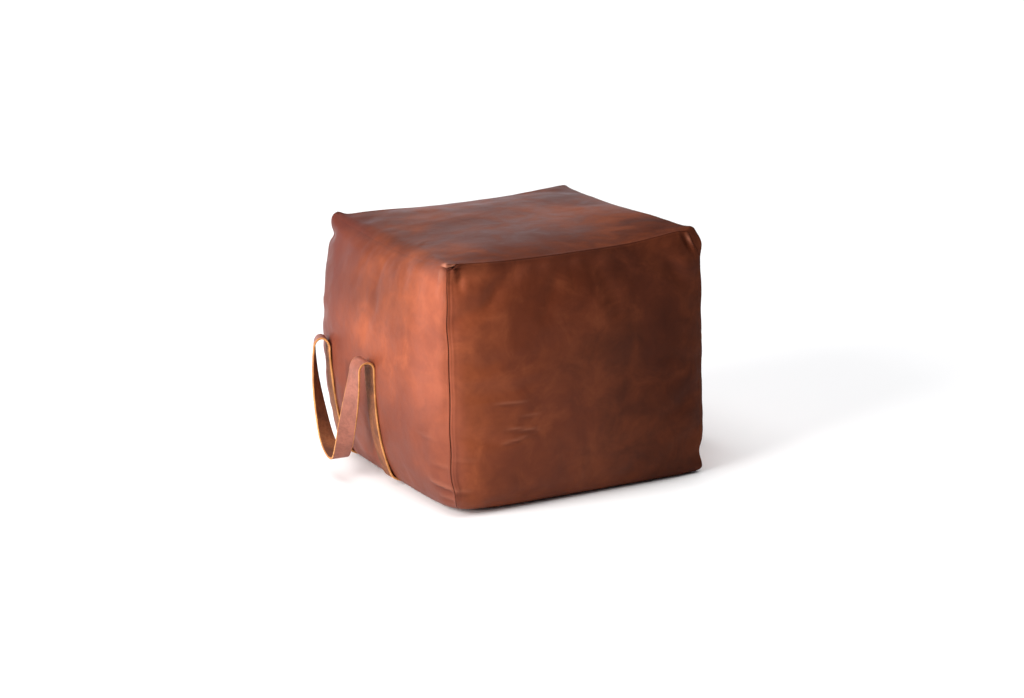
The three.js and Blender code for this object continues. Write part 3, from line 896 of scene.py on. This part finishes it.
def woven(name, dark, light, pitch):
    """A plain weave, from two crossed waves."""
    n = Nodes(name)
    waves = []
    for axis in ("X", "Y"):
        wave = n.add("ShaderNodeTexWave", bands_direction=axis)
        n.put(n.place, wave.inputs["Vector"])
        wave.inputs["Scale"].default_value = 1 / pitch / 3.14
        waves.append(wave.outputs["Fac"])
    weave = n.times(*waves)
    colour = n.mix(n.times(weave, n.noise(60, 3)), dark, light)
    return n.finish(Base_Color=colour, Roughness=0.9, Normal=n.bump(weave, 0.5, 0.0004))


def fluff(name, dark, light):
    n = Nodes(name)
    lumps = n.noise(45, 6, 0.7, 1.2)
    colour = n.mix(n.span(lumps, 0.3, 0.7), dark, light)
    return n.finish(Base_Color=colour, Roughness=1.0, Normal=n.bump(lumps, 0.8, 0.004))


def metal(name, base, dark):
    n = Nodes(name)
    rub = n.noise(260, 4, 0.6)
    colour = n.mix(n.span(rub, 0.35, 0.7), dark, base)
    rough = n.span(rub, 0.3, 0.7, 0.25, 0.45)
    return n.finish(Base_Color=colour, Metallic=1.0, Roughness=rough, Normal=n.bump(rub, 0.1, 0.0002))


COVER = cover_leather()
GRAIN = strap_material("strap_grain", (0.2, 0.062, 0.038), (0.31, 0.1, 0.062), 0.42, 0.55, 700)
FLESH = strap_material("strap_flesh", (0.11, 0.032, 0.012), (0.24, 0.075, 0.024), 0.7, 0.9, 420)
EDGE = strap_material("strap_edge", (0.42, 0.16, 0.04), (0.72, 0.33, 0.1), 0.5, 0.7, 520)
PATCH = strap_material("patch_leather", (0.3, 0.16, 0.08), (0.44, 0.25, 0.13), 0.8, 0.95, 300)
CANVAS = woven("canvas", (0.42, 0.36, 0.27), (0.66, 0.6, 0.48), 0.0012)
STUFFING = fluff("stuffing", (0.55, 0.52, 0.46), (0.78, 0.76, 0.7))
TAPE = woven("zip_tape", (0.02, 0.008, 0.005), (0.06, 0.026, 0.016), 0.0007)
COIL = metal("zip_coil", (0.06, 0.03, 0.02), (0.03, 0.015, 0.01))
BRASS = metal("zip_metal", (0.55, 0.36, 0.14), (0.3, 0.18, 0.06))

# ---- cover ----

for made, node in [
    (band_panel("cover_band", [COVER]), "band_panel"),
    (side_panel("cover_front", -1, [COVER]), "front_panel"),
    (side_panel("cover_back", 1, [COVER]), "back_panel"),
    (base_panel("cover_base_front", -1, [COVER]), "base_panel_front"),
    (base_panel("cover_base_back", 1, [COVER]), "base_panel_back"),
]:
    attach(made, "pouf")
    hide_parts(node)

# ---- inside ----


def inside_body(name, depth, materials):
    """The closed surface of the stuffed shape at a depth below the leather's face."""
    spots, quads, grids = closed_lattice(SIM_CELLS)
    points = cover(*spots.T, depth=depth)
    shift = np.zeros_like(points)
    for face, grid in grids.items():
        shift[grid] = PUCKERS[face]
    base = spots[:, 2] == -1
    points = warp(points + shift)
    points[base, 2] += (recess(points[base, 0], points[base, 1]) > 0.5) * 6.0
    return build_object(name, points, quads, None, materials)


for name, depth, material, node, slot in [
    ("canvas_bag", 9.0, CANVAS, "inner_bag", "canvas"),
    ("stuffing_core", 12.0, STUFFING, "fill_core", "stuffing"),
]:
    made = inside_body(name, depth, [material])
    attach(made, "pouf")
    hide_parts(node)

# ---- handles ----


def side_point(side, y, t, depth):
    """A point of one side of the cover at a given Y and share of the height."""
    y = np.asarray(y, float)
    half = mix(HALF_BOTTOM, HALF_TOP, t) - depth
    ny = y / half
    for _ in range(4):
        ny = ny + (y - cover(side, ny, 2 * t - 1, depth)[..., 1]) / half
    return warp(cover(side, ny, 2 * t - 1, depth))


def smooth_path(points, count):
    """Evenly spaced points and tangents on the centripetal Catmull-Rom curve through points."""
    points = np.asarray(points, float)
    ends = [2 * points[0] - points[1], *points, 2 * points[-1] - points[-2]]
    fine = []
    for a, b, c, d in zip(ends, ends[1:], ends[2:], ends[3:]):
        gaps = [max(np.linalg.norm(q - p) ** 0.5, 1e-4) for p, q in ((a, b), (b, c), (c, d))]
        enter = ((b - a) / gaps[0] - (c - a) / (gaps[0] + gaps[1]) + (c - b) / gaps[1]) * gaps[1]
        leave = ((c - b) / gaps[1] - (d - b) / (gaps[1] + gaps[2]) + (d - c) / gaps[2]) * gaps[1]
        t = np.linspace(0, 1, 60, endpoint=False)[:, None]
        fine.append(
            b + enter * t + (3 * (c - b) - 2 * enter - leave) * t**2 + (2 * (b - c) + enter + leave) * t**3
        )
    fine = np.concatenate([*fine, points[-1:]])
    run = np.concatenate([[0], np.cumsum(np.linalg.norm(np.diff(fine, axis=0), axis=1))])
    at = np.linspace(0, run[-1], count)
    path = np.stack([np.interp(at, run, fine[:, k]) for k in range(3)], -1)
    return path, unit(np.gradient(path, axis=0))


def strap_sections(name, side):
    """Middle points, width directions and thickness directions all along one handle's strap."""
    start = HANDLE_START[name]
    along = -side
    top = (FOLD_HEIGHT + CORNER_RISE) / HEIGHT
    depth = -STRAP_CLEAR * 0.5 - STRAP / 2
    cad_depth = -STRAP_CLEAR - STRAP / 2
    up = np.array([0, 0, 1.0])
    legs = [start, start + along * LEG_SPACING]

    def foot(y):
        p = side_point(side, y, top, cad_depth)
        p[2] = FOLD_HEIGHT
        return p

    def turned(v, degrees):
        c, s = math.cos(math.radians(degrees)), math.sin(math.radians(degrees))
        return np.array([c * v[0] + s * v[1], c * v[1] - s * v[0], 0])

    folds = []
    for y, (leg_turn, loop_turn, reach, rise, tip) in zip(legs, FOLDS[name]):
        flat = unit(foot(y + along * STRAP_WIDTH / 2) - foot(y - along * STRAP_WIDTH / 2))
        out = unit(np.cross(up, turned(flat, (leg_turn + loop_turn) / 2)))
        centre = foot(y) + out * reach
        folds.append((turned(flat, leg_turn), out, centre, reach, turned(flat, loop_turn), rise, tip))

    def leg(y, fold):
        wide, out, centre, reach = fold[:4]
        heights = np.concatenate([np.linspace(0.006, 0.06, 12), np.linspace(0.07, top, 44)])
        depths = [mix(1.2, depth, ramp(t, 0.012, 0.05)) for t in heights]
        middle = np.stack([side_point(side, y, t, d) for t, d in zip(heights, depths)])
        end = centre - out * reach
        blend_in = ramp(middle[:, 2], FOLD_HEIGHT - 60, FOLD_HEIGHT)[:, None]
        middle[:, :2] = mix(middle[:, :2], end[:2] + (middle[:, :2] - middle[-1, :2]), blend_in)
        keep = middle[:, 2] < FOLD_HEIGHT - 0.5
        middle = middle[keep]
        tangent = unit(np.gradient(middle, axis=0))
        ahead, behind = (
            np.array([side_point(side, y + step * along * 14, t, depth) for t in heights[keep]])
            for step in (1, -1)
        )
        wides = unit(ahead - behind)
        wides = unit(mix(wides, wide, ramp(middle[:, 2:3], FOLD_HEIGHT - 75, FOLD_HEIGHT)))
        wides = unit(wides - tangent * (wides * tangent).sum(1, keepdims=True))
        thick = unit(np.cross(wides, tangent))
        return middle, wides, thick * np.sign((thick[-1] * -out).sum())

    def fold(wide, out, centre, reach, loop_wide, rise, tip):
        angles = np.linspace(0, math.pi, 25)[:, None]
        middle = centre - out * np.cos(angles) * reach + up * np.sin(angles) * rise
        wides = unit(mix(wide, loop_wide, angles / math.pi) + up * tip * np.sin(angles) ** 2)
        thick = -out * np.cos(angles) * rise + up * np.sin(angles) * reach
        return middle, wides, unit(thick - wides * (thick * wides).sum(1, keepdims=True))

    def downward(section):
        middle, wides, thick = section
        return middle[::-1], -wides[::-1], thick[::-1]

    first, last = (f[2] + f[1] * f[3] for f in folds)
    out = unit(folds[0][1] + folds[1][1])
    route = []
    for share, down, away in LOOP_ROUTE:
        spot = mix(first, last, share) + out * away
        spot[2] = FOLD_HEIGHT - down
        route.append(spot)
    path, tangent = smooth_path(route, 110)
    tangent[0], tangent[-1] = -up, up
    share = np.linspace(0, 1, len(path))
    turn = np.where(share < LOOP_TURN, 0.5 * share / LOOP_TURN, 1 - 0.5 * (1 - share) / (1 - LOOP_TURN))
    angle = (math.pi * turn)[:, None]
    flat = mix(folds[0][4], folds[1][4], share[:, None])
    wide = flat * np.cos(angle) + out * np.sin(angle)
    wide = unit(wide - tangent * (wide * tangent).sum(1, keepdims=True))
    loop = (path[1:-1], wide[1:-1], -np.cross(tangent, wide)[1:-1])

    rising = leg(legs[0], folds[0]), fold(*folds[0])
    falling = downward(fold(*folds[1])), downward(leg(legs[1], folds[1]))
    return [np.concatenate(parts) for parts in zip(*rising, loop, *falling)]


def strap_mesh(name, sections):
    """A strap with rounded edges: its outer face, inner face and edges have their own finish."""
    middle, wide, thick = sections
    for k in range(1, len(wide)):
        if (wide[k] * wide[k - 1]).sum() < 0:
            wide[k] = -wide[k]
        if (thick[k] * thick[k - 1]).sum() < 0:
            thick[k] = -thick[k]
    w, t, r = STRAP_WIDTH / 2, STRAP / 2, 1.0
    run = np.concatenate([[0], np.cumsum(np.linalg.norm(np.diff(middle, axis=0), axis=1))])
    thin = mix(0.4, 1.0, ramp(np.minimum(run, run[-1] - run), 2, 18))  # skived ends
    across = [-w + r, -w + 2.5, -w * 0.4, 0, w * 0.4, w - 2.5, w - r]
    outline = [(a, t) for a in across]
    outline += [(w - 0.3 * r, t - 0.3 * r), (w, t - r), (w, -t + r), (w - 0.3 * r, -t + 0.3 * r)]
    outline += [(a, -t) for a in across[::-1]]
    outline += [(-w + 0.3 * r, -t + 0.3 * r), (-w, -t + r), (-w, t - r), (-w + 0.3 * r, t - 0.3 * r)]
    outline = np.array(outline)
    kinds = [0] * 6 + [2] * 5 + [1] * 6 + [2] * 5
    ring = len(outline)
    points = (
        middle[:, None]
        + wide[:, None] * outline[None, :, :1]
        + thick[:, None] * outline[None, :, 1:] * thin[:, None, None]
    )
    count = len(middle)
    a = np.arange(count * ring).reshape(count, ring)
    b = np.roll(a, -1, axis=1)
    quads = np.stack([a[:-1], a[1:], b[1:], b[:-1]], -1).reshape(-1, 4)
    face_kind = np.tile(kinds, count - 1)
    points = points.reshape(-1, 3)
    caps = []
    for row, flip in ((0, False), (count - 1, True)):
        loop = a[row]
        top_side, low_side = loop[:7], loop[11:18][::-1]
        for i in range(6):
            quad = [top_side[i], top_side[i + 1], low_side[i + 1], low_side[i]]
            caps.append(quad[::-1] if flip else quad)
        for corners in ((6, 7, 10, 11), (7, 8, 9, 10), (17, 18, 21, 0), (18, 19, 20, 21)):
            quad = [loop[i] for i in corners]
            caps.append(quad[::-1] if flip else quad)
    quads = np.concatenate([quads, caps])
    face_kind = np.concatenate([face_kind, [2] * len(caps)])
    p = points[quads]
    volume = np.einsum("ij,ij->i", p[:, 0], np.cross(p[:, 1], p[:, 2])).sum()
    volume += np.einsum("ij,ij->i", p[:, 0], np.cross(p[:, 2], p[:, 3])).sum()
    if volume < 0:
        quads = quads[:, ::-1]
    return build_object(name, points, quads, None, [GRAIN, FLESH, EDGE], face_kind)


for name, side in (("left", -1), ("right", 1)):
    strap = strap_mesh(name + "_strap", strap_sections(name, side))
    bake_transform(strap)
    replaced = [name + part + end for part in ("_leg_", "_fold_") for end in ("front", "back")]
    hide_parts(name + "_loop", *replaced)

# ---- carried-over CAD nodes ----

CAD_FINISH = [
    (PATCH, ["left_backing_front", "left_backing_back", "right_backing_front", "right_backing_back"]),
    (TAPE, ["zip_tape_front", "zip_tape_back"]),
    (COIL, ["zip_coil_front", "zip_coil_back"]),
    (BRASS, ["zip_stop_left", "zip_stop_right", "zip_slider", "zip_pull"]),
]
for material, node in ((finish, node) for finish, nodes in CAD_FINISH for node in nodes):
    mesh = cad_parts[node].data
    mesh.materials.clear()
    mesh.materials.append(material)

# ---- floor, light and camera ----


def floor():
    n = Nodes("floor")
    cloud = n.noise(1.5, 2)
    colour = n.mix(cloud, (0.93, 0.93, 0.93), (0.95, 0.95, 0.95))
    n.finish(Base_Color=colour, Roughness=0.9, Specular_IOR_Level=0.1)
    half = 14.0
    mesh = bpy.data.meshes.new("floor")
    corners = [(-half, -half, 0), (half, -half, 0), (half, half, 0), (-half, half, 0)]
    mesh.from_pydata(corners, [], [(0, 1, 2, 3)])
    mesh.materials.append(n.material)
    made = add_object("floor", mesh)
    made.location.z = -0.0005


def area_light(name, at, aim, width, height, power, colour=(1, 1, 1)):
    data = bpy.data.lights.new(name, "AREA")
    data.shape = "RECTANGLE"
    data.size, data.size_y = width, height
    data.energy = power
    data.color = colour
    made = add_object(name, data)
    made.location = at
    made.rotation_mode = "QUATERNION"
    made.rotation_quaternion = (Vector(aim) - Vector(at)).to_track_quat("-Z", "Y")


def studio():
    world = bpy.data.worlds.new("studio")
    bpy.context.scene.world = world
    world.use_nodes = True
    nodes, links = world.node_tree.nodes, world.node_tree.links
    place = nodes.new("ShaderNodeTexCoord")
    split = nodes.new("ShaderNodeSeparateXYZ")
    links.new(place.outputs["Generated"], split.inputs[0])

    def span(axis, kind, *numbers):
        node = nodes.new("ShaderNodeMapRange")
        node.interpolation_type = kind
        links.new(split.outputs[axis], node.inputs["Value"])
        for key, number in zip(SPAN_INPUTS, numbers):
            node.inputs[key].default_value = number
        return node.outputs["Result"]

    # Walls that are paler near the floor than overhead, and brightest behind the pouf.
    fade = span("Z", "SMOOTHSTEP", 0.08, 0.36, 0.62, 0.05)
    behind = span("Y", "LINEAR", -0.3, 0.7, 0.3, 2.8)
    strength = nodes.new("ShaderNodeMath")
    strength.operation = "MULTIPLY"
    links.new(fade, strength.inputs[0])
    links.new(behind, strength.inputs[1])
    sky = nodes["Background"]
    sky.inputs["Color"].default_value = (0.93, 0.96, 1.06, 1)
    links.new(strength.outputs[0], sky.inputs["Strength"])
    area_light("key", (-2.4, -0.55, 1.25), (0, 0, 0.2), 1.5, 1.5, 98, (1, 0.98, 0.97))
    area_light("backdrop", (1.5, 7.5, 3.6), (1.5, 7.5, 0), 14, 8, 170)
    overhead = bpy.data.lights.new("overhead", "SUN")
    overhead.energy = 2.7
    overhead.angle = math.radians(70)
    add_object("overhead", overhead)
    bpy.context.scene.view_settings.view_transform = "Standard"
    bpy.context.scene.view_settings.look = "None"


def camera():
    """Aimed at the pouf's middle from its front left and a little above, with a long lens."""
    azimuth, elevation, tilt = (math.radians(angle) for angle in (-26.32, 14.71, -1.85))
    distance = 4.246
    data = bpy.data.cameras.new("camera")
    data.sensor_width = 36.0
    data.lens = 87.9
    data.shift_x = -0.00195
    data.shift_y = -0.00586
    data.dof.use_dof = False
    made = add_object("camera", data)
    level = math.cos(elevation)
    back = Vector((math.sin(azimuth) * level, -math.cos(azimuth) * level, math.sin(elevation)))
    made.location = Vector((0, 0, 0.207)) + back * distance
    made.rotation_euler = (-back).to_track_quat("-Z", "Y").to_euler()
    made.rotation_euler.rotate_axis("Z", tilt)
    bpy.context.scene.camera = made


floor()
studio()
camera()
